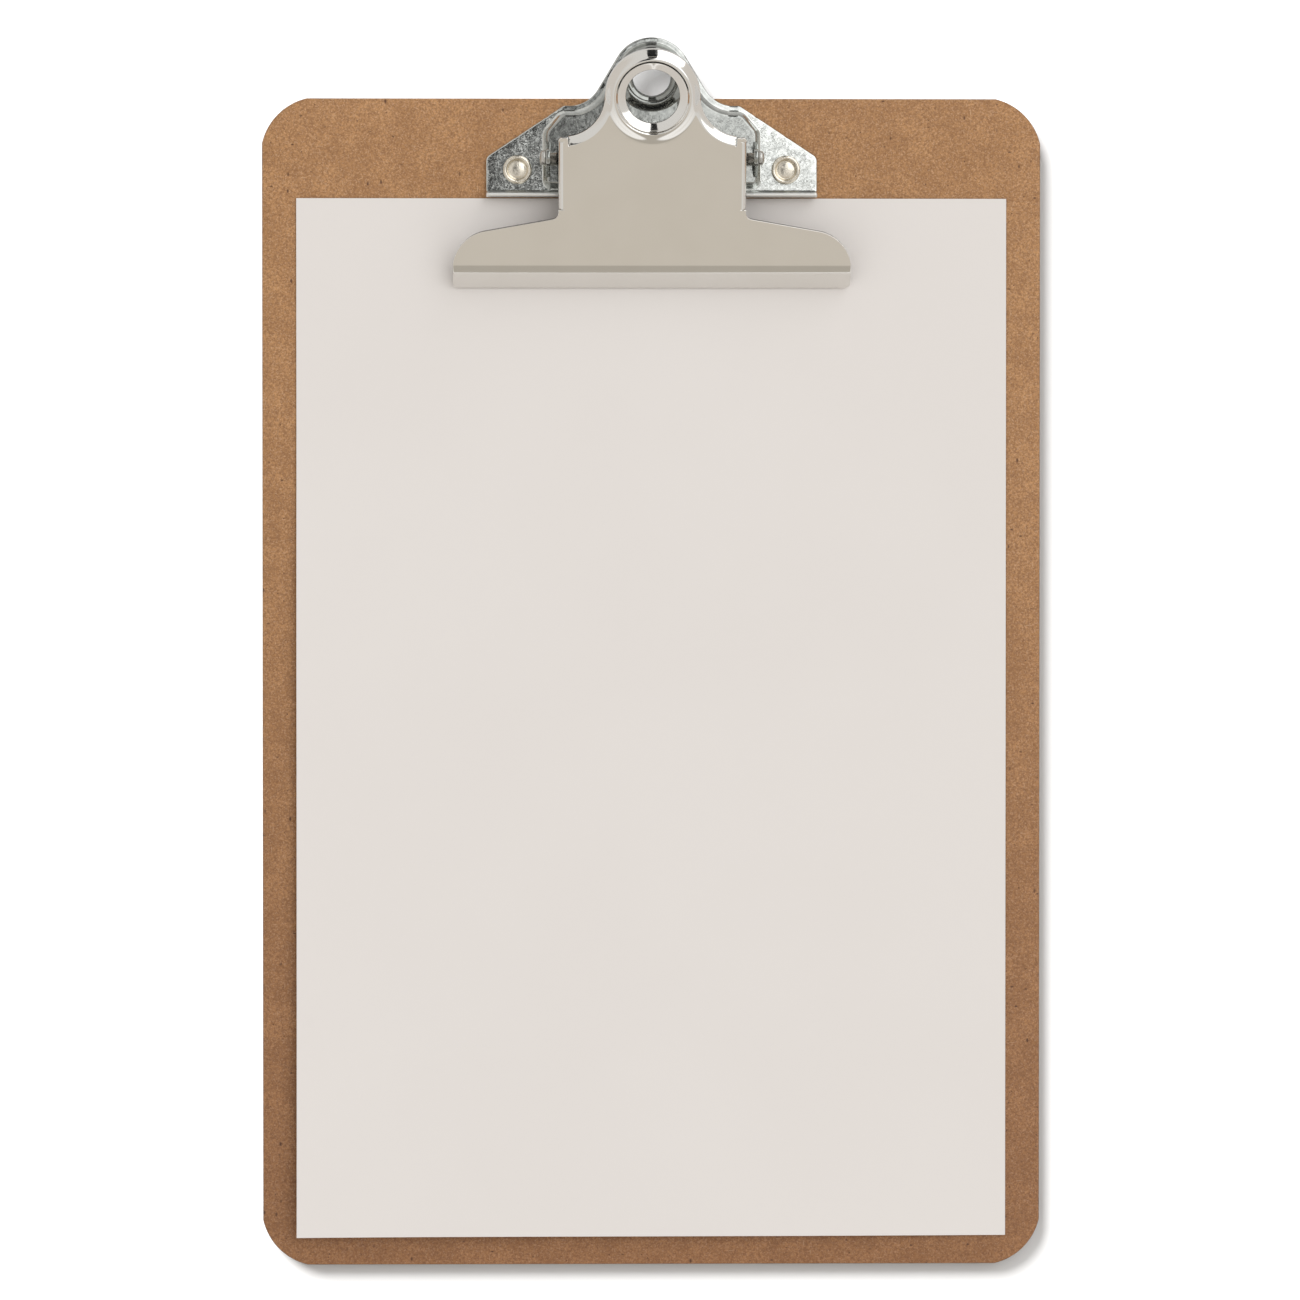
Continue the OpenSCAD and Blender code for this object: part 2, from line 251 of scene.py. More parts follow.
def sheet(loops, fill, top, bottom, place, rows, edge=0.2, spacing=1.0):
    """A closed sheet of metal or board as (points, faces, normals).

    loops[0] bounds the flat blank and the other loops are its holes. fill holds more points to sample,
    and rows the depths of the rows of points along the rim, whose edges are rounded by edge.
    top and bottom give the two faces' heights over the blank, and place bends the blank into shape.
    """
    loops = [dense(loop, spacing) for loop in loops]

    def depth_of(points):
        return np.min([distance(points, loop) for loop in loops], axis=0)

    extra = rim_rows(loops[0], 1, rows, depth_of)
    for hole in loops[1:]:
        extra += rim_rows(hole, -1, rows, depth_of)
    extra.append(fill[depth_of(fill) > edge + 0.01])
    flat, triangles = triangulated(loops, np.vstack(extra))

    n = len(flat)
    faces = [tuple(t) for t in triangles] + [tuple(t[::-1] + n) for t in triangles]
    sides = {(t[i], t[(i + 1) % 3]) for t in triangles for i in range(3)}
    faces += [(b, a, a + n, b + n) for a, b in sorted(sides) if (b, a) not in sides]

    depth = depth_of(flat)
    points, normals = [], []
    for height, sign in ((top, 1), (bottom, -1)):
        points.append(place(flat, height(flat) - sign * edge_round(depth, edge)))
        normal = sign * surface_normals(flat, height, place)
        normals.append(np.where((depth > edge)[:, None], normal, 0))
    return np.vstack(points), faces, np.vstack(normals)


def lathe(profile, centre, segments=64):
    """A closed solid of revolution about Z from (radius, height) pairs, as (points, faces, normals)."""
    profile = np.array(profile, float)
    profile[[0, -1], 0] = 0
    angles = np.arange(segments) * 2 * math.pi / segments
    points = [np.array((0, 0, profile[0, 1]))[None]]
    for radius, z in profile[1:-1]:
        ring = (radius * np.cos(angles), radius * np.sin(angles), np.full(segments, z))
        points.append(np.column_stack(ring))
    points.append(np.array((0, 0, profile[-1, 1]))[None])
    points = np.vstack(points) + np.array(centre)
    last = len(points) - 1
    faces = []
    for k in range(segments):
        m = (k + 1) % segments
        faces.append((0, 1 + m, 1 + k))
        for i in range(len(profile) - 3):
            a, b = 1 + i * segments, 1 + (i + 1) * segments
            faces.append((a + k, a + m, b + m, b + k))
        faces.append((last, last - segments + k, last - segments + m))
    return points, faces, np.zeros_like(points)


# ---------- Lever ----------

# Its blank is (u, v): v is 0 where the jaw's bend starts and grows towards the thumb ring.
LEVER_TILT = math.radians(16)
BEND_DY = -20.7
BEND_H = 5.7
BEND_R = 3.65
BEND_ANGLE = math.radians(39)
LIP = 4.15
LIP_CORNER = 1.2
NECK = 18.25
JAW_END_R = 7.9
JAW_END_Y = -1.2
JAW_SLOPE = math.radians(10.4)
JAW_FOOT = (18.9, 9.0)
FILLET = 1.3

# The thumb ring, its raised bead, and the funnel inside the bead.
RING_Y = 33.0
RING_R = 9.25
RING_HOLE = 5.25
CREST_R = 7.2
CREST = 0.6
CREST_STEP = 0.5
CREST_STEP_WIDTH = 0.6
FUNNEL_R = 6.9
FUNNEL_SLOPE = 0.6
FUNNEL_SOFT = 0.2
FUNNEL_START = 0.032

# The shoulders and the ring roll down at the edge. A slit parts the roll from the flat tab below it.
SHOULDER_X = RING_R + 8
SHOULDER_R = 8.0
SHOULDER_END = 264
TAB_END = 266
TAB_CORNER = 0.7
SLIT = 1.1
SLIT_LENGTH = 1.65
ROLL = 1.6
ROLL_DROP = 0.95
SKIRT_LOW = -2.2
HOLLOW_LOW = -1.6

# The side flanges fold down round the pin, between reliefs too narrow to see.
FOLD_R = 1.1
FLANGE = (10.8, 24.2)
FLANGE_TIP = 3.3
PIN_PLAY = 0.06
RELIEF = 0.02
FLAT_CLEARANCE = 0.6  # the loose grid over the blank keeps this far from the rim's own rows

pin_v = -BEND_DY * math.cos(LEVER_TILT) + (hinge_h - BEND_H) * math.sin(LEVER_TILT)
pin_w = BEND_DY * math.sin(LEVER_TILT) + (hinge_h - BEND_H) * math.cos(LEVER_TILT)
jaw_half = lever_high[0]
bend_arc = BEND_R * BEND_ANGLE
fold_arc = FOLD_R * math.pi / 2
fold_x = NECK - FOLD_R


def flange_u(w):
    """Where the height w of a side flange lies on the flat blank."""
    return fold_x + fold_arc - FOLD_R - w


def lever_outline():
    """The blank, from the lip's corner round the jaw, neck, flange, tab and shoulder to the ring."""
    low = -bend_arc - LIP
    end_x = jaw_half - math.sqrt(JAW_END_R ** 2 - JAW_END_Y ** 2)
    end_angle = math.degrees(math.asin(-JAW_END_Y / JAW_END_R))
    slope = math.degrees(JAW_SLOPE)
    fillet_x = NECK + FILLET
    fillet_rise = (FILLET - (fillet_x - JAW_FOOT[0]) * math.sin(JAW_SLOPE)) / math.cos(JAW_SLOPE)
    root = flange_u(-SHEET / 2)
    low_cut = FLANGE[0] - RELIEF
    high_cut = FLANGE[1] + RELIEF
    tab_x = NECK - TAB_CORNER
    tab_y = RING_Y - math.sqrt(SHOULDER_R ** 2 - (tab_x - SHOULDER_X) ** 2) - TAB_CORNER
    shoulder = (SHOULDER_X, RING_Y)
    slit_end = SHOULDER_END - SLIT
    return mirrored(np.vstack((
        arc((jaw_half - LIP_CORNER, low + LIP_CORNER), LIP_CORNER, -90, 0, 10),
        arc((end_x, JAW_END_Y), JAW_END_R, end_angle, 90 - slope, 3),
        arc((fillet_x, JAW_FOOT[1] + fillet_rise), FILLET, 270 - slope, 180, 6),
        [(NECK, low_cut), (fold_x, low_cut), (fold_x, FLANGE[0]), (root, FLANGE[0])],
        arc((flange_u(pin_w), pin_v), FLANGE_TIP, -90, 90, 8),
        [(root, FLANGE[1]), (fold_x, FLANGE[1]), (fold_x, high_cut), (NECK, high_cut)],
        arc((tab_x, tab_y), TAB_CORNER, 0, 90, 15),
        arc(shoulder, SHOULDER_R, TAB_END, SHOULDER_END),
        arc(shoulder, SHOULDER_R + SLIT_LENGTH, SHOULDER_END, slit_end),
        arc(shoulder, SHOULDER_R, slit_end, 180, 3),
        arc((0, RING_Y), RING_R, 0, 90, 3)[1:],
    )))


def roll_depth(p):
    """How far a point of the blank lies in from the turned-down edge of the ring and shoulders."""
    x, y = np.abs(p[:, 0]), p[:, 1] - RING_Y
    around = np.degrees(np.arctan2(y, x - SHOULDER_X)) % 360
    shoulder = np.hypot(x - SHOULDER_X, y) - SHOULDER_R
    ring = RING_R - np.hypot(x, y)
    rolled = around < SHOULDER_END - SLIT / 2
    return np.where(y >= 0, ring, np.where(rolled, shoulder, 2 * ROLL))


def fall(depth, width, drop):
    """Height of an edge that turns down towards its rim, at each depth in from the rim."""
    return -drop * np.clip(1 - np.maximum(depth, 0) / width, 0, 1) ** 1.5


def ring_bead(p):
    """Height of the bead round the thumb ring's hole and of the funnel inside it."""
    r = np.hypot(p[:, 0], p[:, 1] - RING_Y)
    outer = CREST * (1 + np.cos(math.pi * np.clip((r - CREST_R) / (RING_R - CREST_R), 0, 1))) / 2
    step = CREST_STEP * smooth((CREST_R + 0.1 - r) / CREST_STEP_WIDTH)
    within = FUNNEL_R - r
    funnel = within / 2 + np.sqrt(within ** 2 + FUNNEL_SOFT ** 2) / 2 - FUNNEL_START
    return np.where(r > CREST_R, outer, CREST - step - FUNNEL_SLOPE * funnel)


def lever_top(p):
    return fall(roll_depth(p), ROLL, ROLL_DROP) + ring_bead(p)


def lever_bottom(p):
    depth = roll_depth(p)
    bend = fall(depth - SHEET, ROLL - SHEET, ROLL_DROP / 2) - SHEET
    return np.where(depth < SHEET, SKIRT_LOW, np.maximum(bend + ring_bead(p), HOLLOW_LOW))


def lever_place(p, w):
    """Bends the lever's blank: the jaw's bend and lip, the side flanges, and the closed slope."""
    u, v = p[:, 0], p[:, 1]
    turned = np.clip(-v / BEND_R, 0, BEND_ANGLE)
    beyond = np.maximum(-v - bend_arc, 0)
    r = BEND_R + w
    y = np.where(v >= 0, v, -r * np.sin(turned) - beyond * math.cos(BEND_ANGLE))
    z = np.where(v >= 0, w, r * np.cos(turned) - BEND_R - beyond * math.sin(BEND_ANGLE))
    folds = (np.abs(u) > fold_x) & (v > FLANGE[0] - RELIEF / 2) & (v < FLANGE[1] + RELIEF / 2)
    past = np.abs(u) - fold_x
    turned = np.clip(past / FOLD_R, 0, math.pi / 2)
    r = FOLD_R + w
    x = np.where(folds, np.sign(u) * (fold_x + r * np.sin(turned)), u)
    z = np.where(folds, r * np.cos(turned) - FOLD_R - np.maximum(past - fold_arc, 0), z)
    c, s = math.cos(LEVER_TILT), math.sin(LEVER_TILT)
    return np.column_stack((x, hinge_y + BEND_DY + y * c - z * s, board_top + BEND_H + y * s + z * c))


def lever_fill(outline):
    """Where the blank is sampled: closely on the ring, the bends and the ends of the slits and folds."""
    rings = [arc((0, RING_Y), r, 0, 357, 3) for r in np.arange(RING_HOLE + 0.1, RING_R, 0.13)]
    bends = [grid((-jaw_half, -BEND_R * a), (jaw_half, -BEND_R * a), (1, 1))
             for a in np.linspace(0, BEND_ANGLE, 9)]
    folds = [grid((side * (fold_x + FOLD_R * a), FLANGE[0]), (side * (fold_x + FOLD_R * a), FLANGE[1]),
                  (1, 0.8)) for side in (-1, 1) for a in np.linspace(0, math.pi / 2, 10)]
    slit = np.radians(SHOULDER_END - SLIT / 2)
    reach = SHOULDER_R + SLIT_LENGTH
    ends = [(SHOULDER_X + reach * np.cos(slit), RING_Y + reach * np.sin(slit)),
            (fold_x, FLANGE[0]), (fold_x, FLANGE[1])]
    near = [arc((side * x, y), r, 0, 350, 15)
            for side in (-1, 1) for x, y in ends for r in (0.1, 0.13, 0.2, 0.4, 0.8)]
    flat = grid((-jaw_half, -bend_arc - LIP), (jaw_half, RING_Y), (2.5, 2.5))
    flat = flat[distance(flat, outline) > FLAT_CLEARANCE]
    fill = np.vstack(rings + bends + folds + near + [flat])
    return fill[inside(fill, outline) & (np.hypot(fill[:, 0], fill[:, 1] - RING_Y) > RING_HOLE)]


def make_lever():
    outline = lever_outline()
    loops = [outline, arc((0, RING_Y), RING_HOLE, 0, 357, 3)]
    for side in (-1, 1):
        loops.append(arc((side * flange_u(pin_w), pin_v), PIN_R + PIN_PLAY, 0, 350, 10))
    rows = [0.02, 0.05, 0.08, 0.16, 0.3, 0.5, 0.7, 0.88, 0.92, 1.15, 1.4, 1.6]
    part = sheet(loops, lever_fill(outline), lever_top, lever_bottom, lever_place, rows, edge=0.08)
    return joined("lever_pressing", [part])


# ---------- Base plate ----------

# Its blank is (x, y) with y from the hinge pin. The paper stop folds up along the front.
STOP_BEND = 1.3
STOP_ANGLE = math.radians(76)
STOP_H = 2.6
STOP_CORNER = 0.5
WING_TOP = 0.5
WING_SLOPE = math.radians(33.5)
WING_X = 17.2
WING_CORNER = 1.5

# The raised pan, which leaves an even rim of flat sheet along the waists and the hanging ring.
PAN_INSET = 1.6
PAN_HALF = 20.7
PAN_LOW = -5.1
PAN_LOW_CORNER = 1.0
PAN_SHOULDER = ((PAN_HALF, 5.3), (17.6, 8.9))
PAN_CORNER = 2.0
PAN_RISE = 1.3
PAN_WALL = 1.4

# The waists beside the pan, and the points that only aim the corner before each waist.
WAIST = (16.2, 17.1)
WAIST_R = 6.6
WAIST_START = 265
WAIST_AIM = (WAIST[0] - 1, WAIST[1] - WAIST_R + 0.08)
PAN_AIM = (WAIST[0] - 1, WAIST[1] - WAIST_R - PAN_INSET + 0.06)

HANG_R = 7.8
HANG_Y = plate_high[1] - hinge_y - HANG_R
HANG_HOLE = 3.7
BEAD_R = 5.3
BEAD_FOOT = 6.95
BEAD_RISE = 0.6
BEAD_DROP = 1.3
EAR_Y = (-3.8, 3.7)
EAR_TIP = 1.8
EAR_ROOT = 1.45

wing_half = plate_high[0]
stop_y = plate_low[1] - hinge_y
stop_length = (STOP_H - STOP_BEND + (STOP_BEND - SHEET) * math.cos(STOP_ANGLE)) / math.sin(STOP_ANGLE)
stop_start = stop_y + STOP_BEND * math.sin(STOP_ANGLE) + stop_length * math.cos(STOP_ANGLE)
stop_arc = STOP_BEND * STOP_ANGLE


def ring_neck(inset):
    """From the waist beside the wing up to the top of the hanging ring, drawn in by inset."""
    across = math.hypot(WAIST[0], WAIST[1] - HANG_Y)
    bearing = math.atan2(WAIST[1] - HANG_Y, WAIST[0])
    angle = math.degrees(bearing + math.acos((HANG_R + WAIST_R) / across))
    return np.vstack((arc(WAIST, WAIST_R + inset, WAIST_START, angle + 180, 4),
                      arc((0, HANG_Y), HANG_R - inset, angle, 90, 3)))


def necked(corners, aim, inset):
    """A closed outline: the right side's corners, then the waist and the hanging ring, and their mirror."""
    side = rounded([(0, corners[0][1], 0)] + corners + [(*aim, 0), (0, HANG_Y, 0)])
    return mirrored(np.vstack((side[1:-2], ring_neck(inset))))


def wing_outline():
    low = stop_start - stop_arc - stop_length
    wing_y = WING_TOP + (wing_half - WING_X) * math.tan(WING_SLOPE)
    corners = [(wing_half, low, STOP_CORNER), (wing_half, WING_TOP, WING_CORNER),
               (WING_X, wing_y, WING_CORNER)]
    return necked(corners, WAIST_AIM, 0)


def pan_outline():
    corners = [(PAN_HALF, PAN_LOW, PAN_LOW_CORNER)] + [(x, y, PAN_CORNER) for x, y in PAN_SHOULDER]
    return necked(corners, PAN_AIM, PAN_INSET)


def plate_rise(p):
    """How far the plate's sheet is pressed up over each point of the blank."""
    outline = pan_outline()
    depth = np.where(inside(p, outline), 1, -1) * distance(p, outline)
    pan = PAN_RISE * smooth((depth + PAN_WALL / 2 + 0.05) / PAN_WALL)
    r = np.hypot(p[:, 0], p[:, 1] - HANG_Y)
    bead = BEAD_RISE * (1 - smooth((r - BEAD_R) / (BEAD_FOOT - BEAD_R)))
    into = np.clip(1 - ((BEAD_R - r) / (BEAD_R - HANG_HOLE)) ** 2, 0, 1)
    drop = BEAD_DROP * (1 - np.sqrt(into))
    return np.where(r < BEAD_R, PAN_RISE + BEAD_RISE - drop, pan + bead)


def plate_top(p):
    return SHEET + plate_rise(p)


def plate_place(p, w):
    """Folds the paper stop up and sets the plate on the board."""
    x, v = p[:, 0], p[:, 1]
    turned = np.clip((stop_start - v) / STOP_BEND, 0, STOP_ANGLE)
    beyond = np.maximum(stop_start - v - stop_arc, 0)
    r = STOP_BEND - w
    out = r * np.sin(turned) + beyond * math.cos(STOP_ANGLE)
    up = STOP_BEND - r * np.cos(turned) + beyond * math.sin(STOP_ANGLE)
    y = np.where(v >= stop_start, v, stop_start - out)
    z = np.where(v >= stop_start, w, up)
    return np.column_stack((x, hinge_y + y, board_top + z))


def make_ear(side):
    """One ear as (points, faces, normals): its blank is the Y-Z plane."""
    tip = arc((0, hinge_h), EAR_TIP, 10, 170, 8)
    outline = np.vstack(([(EAR_Y[0], EAR_ROOT), (EAR_Y[1], EAR_ROOT)], tip))
    fill = grid((EAR_Y[0], EAR_ROOT), (EAR_Y[1], hinge_h + EAR_TIP), (0.8, 0.8))
    fill = fill[inside(fill, outline) & (np.hypot(fill[:, 0], fill[:, 1] - hinge_h) > PIN_R + 0.1)]

    def place(p, w):
        x = PAN_HALF - SHEET + w
        return np.column_stack((side * x, hinge_y + p[:, 0], board_top + p[:, 1]))

    hole = arc((0, hinge_h), PIN_R, 0, 350, 10)
    points, faces, normals = sheet([outline, hole], fill, level(SHEET), level(0), place, [0.04, 0.12, 0.2])
    if side < 0:
        return points, [f[::-1] for f in faces], -normals
    return points, faces, normals


def plate_fill(outline, rivets):
    """Where the blank is sampled: closely on the ring, across the pan's wall and round the stop's fold."""
    rings = [arc((0, HANG_Y), r, 0, 357, 3) for r in np.arange(HANG_HOLE + 0.1, HANG_R, 0.15)]
    pan = dense(pan_outline(), 0.8)
    ahead = np.roll(pan, -1, axis=0) - np.roll(pan, 1, axis=0)
    outward = np.column_stack((ahead[:, 1], -ahead[:, 0])) / np.linalg.norm(ahead, axis=1)[:, None]
    walls = [pan + offset * outward for offset in np.arange(-0.8, 0.85, 0.12)]
    stops = []
    for angle in np.linspace(0, STOP_ANGLE, 13):
        y = stop_start - STOP_BEND * angle
        stops.append(grid((-wing_half, y), (wing_half, y), (1, 1)))
    flat = grid((-wing_half, stop_start), (wing_half, HANG_Y), (2, 2))
    fill = np.vstack(rings + walls + stops + [flat])
    keep = inside(fill, outline) & (np.hypot(fill[:, 0], fill[:, 1] - HANG_Y) > HANG_HOLE)
    for hole in rivets:
        keep &= ~inside(fill, hole)
    return fill[keep]


def make_base_plate():
    outline = wing_outline()
    rivets = [arc((side * RIVET_X, RIVET_DY), RIVET_HOLE, 0, 350, 10) for side in (-1, 1)]
    loops = [outline, arc((0, HANG_Y), HANG_HOLE, 0, 357, 3)] + rivets
    rows = [0.04, 0.12, 0.22, 0.3]
    part = sheet(loops, plate_fill(outline, rivets), plate_top, plate_rise, plate_place, rows, edge=0.3)
    return joined("base_plate_pressing", [part, make_ear(-1), make_ear(1)])


# ---------- Pin, rivets and spring ----------

HEAD_R = 1.45
HEAD_T = 1.2
CUP_ROLL_R = 2.4
CUP_ROLL = 0.42


def make_pin():
    """The shank and both peened heads, turned about X."""
    half = pin_high[0]
    head = [(0, half), (0.5, half - 0.02), (0.95, half - 0.12), (1.25, half - 0.3), (1.42, half - 0.6),
            (HEAD_R, half - 0.85), (HEAD_R - 0.02, half - HEAD_T + 0.1), (HEAD_R - 0.1, half - HEAD_T),
            (PIN_R, half - HEAD_T)]
    profile = [(r, -z) for r, z in head] + [(r, z) for r, z in head[::-1]]
    points, faces, normals = lathe(profile, (0, 0, 0), 48)
    points = np.column_stack((points[:, 2], points[:, 0], points[:, 1]))
    points += (0, hinge_y, board_top + hinge_h)
    return joined("hinge_pin", [(points, faces, normals)])


def rivet_profile():
    """A set rivet's section, from its back head round to its cup. Heights count from the board's back."""
    face = board_top + SHEET
    back = [(0, 0.12), (2.0, 0.1), (3.2, 0.12), (3.7, 0.2), (3.95, 0.42), (4.0, 0.7), (4.0, 1.15),
            (1.9, 1.2)]
    roll = []
    for angle in np.radians(np.linspace(-25, 165, 14)):
        roll.append((CUP_ROLL_R + CUP_ROLL * math.cos(angle), face + 0.2 + CUP_ROLL * math.sin(angle)))
    cup = [(1.86, 0.14), (1.76, 0.02), (1.68, -0.02), (1.6, 0), (1.5, 0.06), (1.3, 0.11), (0.8, 0.16),
           (0, 0.18)]
    return back + [(1.9, face)] + roll + [(r, face + rise) for r, rise in cup]


def make_rivet(name, side):
    place = (side * RIVET_X, hinge_y + RIVET_DY, 0)
    return joined(name, [lathe(rivet_profile(), place)])


WIRE = 1.4
COIL_R = 3.0
COIL_PITCH = 1.5
COIL_TURNS = 3
COIL_STEPS = 96
BAIL_HALF = 4.6
BAIL_SLOPE = math.radians(22)
BAIL_REACH = 6.4
BAIL_CORNER = 1.6
FOOT_REACH = 7.2
coil_sweep = 2 * math.pi * COIL_TURNS + math.pi - BAIL_SLOPE
coil_out = BAIL_HALF + COIL_PITCH * coil_sweep / (2 * math.pi)


def spring_path(side):
    """The middle line of one half of the spring, from its foot to the middle of the bail."""
    path = [(coil_out, FOOT_REACH * t, -COIL_R) for t in (1, 0.75, 0.5, 0.25)]
    for i in range(COIL_STEPS + 1):
        angle = 1.5 * math.pi - coil_sweep * i / COIL_STEPS
        x = coil_out - (coil_out - BAIL_HALF) * i / COIL_STEPS
        path.append((x, COIL_R * math.cos(angle), COIL_R * math.sin(angle)))

    def bail(x, reach):
        return (x, -COIL_R * math.sin(BAIL_SLOPE) + reach * math.cos(BAIL_SLOPE),
                COIL_R * math.cos(BAIL_SLOPE) + reach * math.sin(BAIL_SLOPE))

    path += [bail(BAIL_HALF, (BAIL_REACH - BAIL_CORNER) * t) for t in (0.25, 0.5, 0.75, 1)]
    for a in np.radians(np.arange(15, 91, 15)):
        path.append(bail(BAIL_HALF - BAIL_CORNER * (1 - math.cos(a)),
                         BAIL_REACH - BAIL_CORNER * (1 - math.sin(a))))
    path += [bail((BAIL_HALF - BAIL_CORNER) * t, BAIL_REACH) for t in (0.5, 0)]
    return np.array(path) * (side, 1, 1) + (0, hinge_y, board_top + hinge_h)


def tube(path, radius, sides=16):
    """A closed round tube along the path, its rings carried along without twist."""
    way = np.gradient(path, axis=0)
    way /= np.linalg.norm(way, axis=1)[:, None]
    normal = np.cross(way[0], (0, 0, 1))
    around = np.arange(sides) * 2 * math.pi / sides
    points = []
    for here, ahead in zip(path, way):
        normal = normal - (normal @ ahead) * ahead
        normal /= np.linalg.norm(normal)
        other = np.cross(ahead, normal)
        ring = np.outer(np.cos(around), normal) + np.outer(np.sin(around), other)
        points.append(here + radius * ring)
    faces = [tuple(range(sides))[::-1], tuple((len(path) - 1) * sides + k for k in range(sides))]
    for i in range(len(path) - 1):
        for k in range(sides):
            m = (k + 1) % sides
            faces.append((i * sides + k, i * sides + m, (i + 1) * sides + m, (i + 1) * sides + k))
    points = np.vstack(points)
    return points, faces, np.zeros_like(points)


def make_spring(name, side):
    return joined(name, [tube(spring_path(side), WIRE / 2)])


# ---------- Board and paper ----------

CORNER_R = 11.7
CORNER_OVER = 0.3  # how far each corner's circle reaches past the straight sides
WELL_R = 4.05
WELL_DEPTH = 1.2
WELL_WALL = 0.04


def make_board():
    """The panel, with a well behind each rivet hole for the rivet's head."""
    x, y = board_high[:2] - (CORNER_R - CORNER_OVER)
    cut = math.degrees(math.acos((CORNER_R - CORNER_OVER) / CORNER_R))
    corner = arc((x, y), CORNER_R, cut, 90 - cut, 4)
    outline = mirrored(np.vstack((corner[::-1] * (1, -1), corner)))
    rivets = [(side * RIVET_X, hinge_y + RIVET_DY) for side in (-1, 1)]

    def from_rivets(p):
        return np.min([np.hypot(p[:, 0] - rx, p[:, 1] - ry) for rx, ry in rivets], axis=0)

    def bottom(p):
        return WELL_DEPTH * (1 - smooth((from_rivets(p) - WELL_R) / WELL_WALL + 0.5))

    def place(p, w):
        return np.column_stack((p, w))

    wells = [arc(r, WELL_R + d, 0, 350, 10) for r in rivets for d in (-0.03, 0.03, 1)]
    fill = np.vstack(wells + [grid(-board_high[:2], board_high[:2], (8, 8))])
    fill = fill[inside(fill, outline) & (from_rivets(fill) > RIVET_HOLE + 0.25)]
    holes = [arc(r, RIVET_HOLE, 0, 350, 10) for r in rivets]
    rows = [0.05, 0.15, 0.3]
    part = sheet([outline] + holes, fill, level(board_top), bottom, place, rows, edge=0.3, spacing=6)
    return joined("hardboard_panel", [part])


PAPERS = 3
PAPER_SHEET = 0.1
LIFT_START = 40  # the sheets lie flat this far down from their top edge
BOTTOM_LIFT = 1.4
LEFT_LIFT = 1.2
CORNER_LIFT = 0.3


def paper_lift(x, y, share):
    """How far the sheets curl off the board: most at the bottom left corner, some along the bottom."""
    start = paper_high[1] - LIFT_START
    down = np.clip((start - y) / (start - paper_low[1]), 0, 1)
    left = np.clip((paper_high[0] - x) / (paper_high[0] - paper_low[0]), 0, 1)
    bottom = BOTTOM_LIFT * down ** 4 * (1 - (1 - left) ** 4)
    return share * (bottom + LEFT_LIFT * smooth(3 * down) * left ** 8 + CORNER_LIFT * down ** 3 * left ** 3)


def make_paper(number):
    """One sheet, closed, with a little more curl the higher it lies in the stack."""
    share = 0.55 + 0.45 * number / (PAPERS - 1)
    x = np.linspace(paper_low[0], paper_high[0], 57)
    y = np.linspace(paper_low[1], paper_high[1], 83)
    gx, gy = np.meshgrid(x, y)
    low = paper_low[2] + number * PAPER_SHEET + paper_lift(gx, gy, share)
    points = [np.column_stack((gx.ravel(), gy.ravel(), (low + t).ravel())) for t in (PAPER_SHEET, 0)]
    n, wide = gx.size, len(x)
    faces = []
    for j in range(len(y) - 1):
        for i in range(wide - 1):
            a, b = j * wide + i, (j + 1) * wide + i
            faces.append((a, a + 1, b + 1, b))
            faces.append((a + n, b + n, b + 1 + n, a + 1 + n))
    rim = list(range(wide)) + [(j + 1) * wide - 1 for j in range(1, len(y))]
    rim += [n - 1 - i for i in range(1, wide)] + [j * wide for j in range(len(y) - 2, 0, -1)]
    faces += [(b, a, a + n, b + n) for a, b in zip(rim, rim[1:] + rim[:1])]
    rise_y, rise_x = np.gradient(low, y, x)
    normals = np.column_stack((-rise_x.ravel(), -rise_y.ravel(), np.ones(n)))
    normals /= np.linalg.norm(normals, axis=1)[:, None]
    part = (np.vstack(points), faces, np.vstack((normals, -normals)))
    return joined("paper_sheet_%d" % (number + 1), [part])


# ---------- Materials ----------

class Nodes:
    """A node tree and short calls that add to it."""

    def __init__(self, tree):
        self.tree = tree

    def add(self, kind, inputs=None, **settings):
        node = self.tree.nodes.new(kind)
        for key, value in settings.items():
            setattr(node, key, value)
        for key, value in (inputs or {}).items():
            self.put(node.inputs[key], value)
        return node

    def put(self, socket, value):
        """Links the socket to another, or sets its value."""
        if isinstance(value, bpy.types.NodeSocket):
            self.tree.links.new(value, socket)
        else:
            socket.default_value = value

    def axis(self, vector, number):
        return self.add("ShaderNodeSeparateXYZ", {0: vector}).outputs[number]

    def vector(self, operation, a, b=(0, 0, 0)):
        """SCALE takes a number as b, and the other operations a second vector."""
        second = "Scale" if operation == "SCALE" else 1
        return self.add("ShaderNodeVectorMath", {0: a, second: b}, operation=operation).outputs[0]

    def calc(self, operation, a, b=0.0):
        return self.add("ShaderNodeMath", {0: a, 1: b}, operation=operation).outputs[0]

    def times(self, a, b):
        return self.calc("MULTIPLY", a, b)

    def span(self, value, low, high, to_low=0.0, to_high=1.0):
        """The value's range low to high, stretched over to_low to to_high."""
        inputs = {"Value": value, "From Min": low, "From Max": high, "To Min": to_low, "To Max": to_high}
        return self.add("ShaderNodeMapRange", inputs, interpolation_type="SMOOTHSTEP").outputs[0]

    def band(self, value, low, high, soft):
        """1 within the bounds and 0 outside them, with soft edges."""
        rise = self.span(self.calc("SUBTRACT", value, low), -soft, soft)
        drop = self.span(self.calc("SUBTRACT", high, value), -soft, soft)
        return self.times(rise, drop)

    def blend(self, share, a, b, how="MIX"):
        """Colour a with that share of colour b mixed in or multiplied over it."""
        node = self.add("ShaderNodeMix", data_type="RGBA", blend_type=how)
        self.put(node.inputs["Factor"], share)
        for socket, value in ((node.inputs[6], a), (node.inputs[7], b)):
            self.put(socket, (*value, 1) if isinstance(value, tuple) else value)
        return node.outputs[2]


